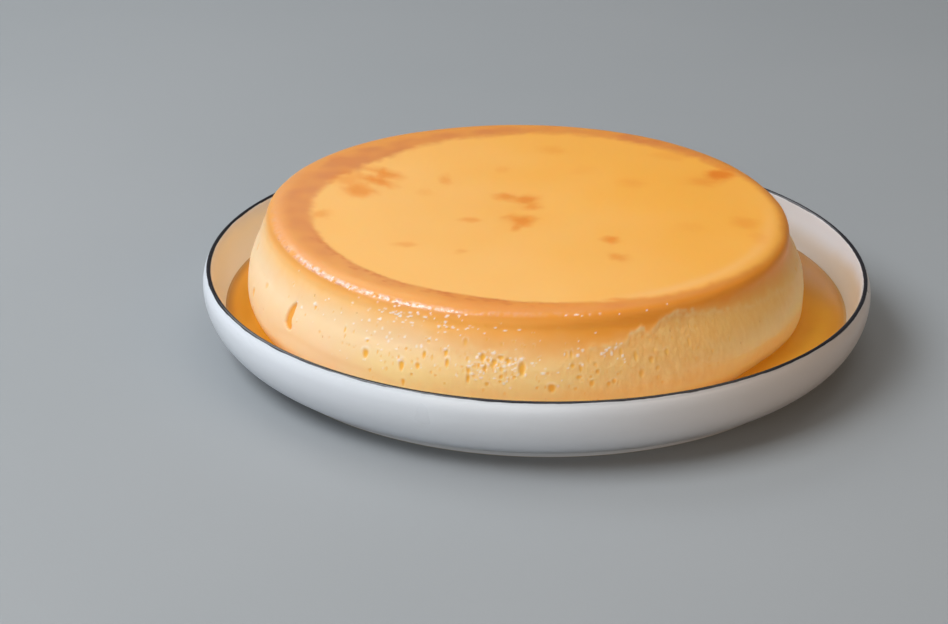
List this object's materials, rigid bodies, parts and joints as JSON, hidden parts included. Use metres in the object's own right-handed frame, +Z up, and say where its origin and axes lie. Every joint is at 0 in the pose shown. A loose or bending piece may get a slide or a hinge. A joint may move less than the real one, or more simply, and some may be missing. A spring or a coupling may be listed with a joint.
{
  "type": "leche flan",
  "caption": "Round caramel custard turned out of its pan, standing in a pool of syrup on a deep glazed plate with a dark-lined rim.",
  "frame": {"origin": "centre of the plate's foot ring, on the plane that the plate stands on", "axes": "+Z up through the middle of the plate, -Y towards the front, +X to the right as seen from the front"},
  "size_m": [0.2748, 0.2748, 0.0551],
  "materials": {
    "glazed_plate": "gloss",
    "custard": "satin",
    "syrup": "gloss"
  },
  "bodies": {
    "root": {"plate": "glazed_plate", "flan": "custard", "caramel_syrup": "syrup"}
  },
  "joints": []
}
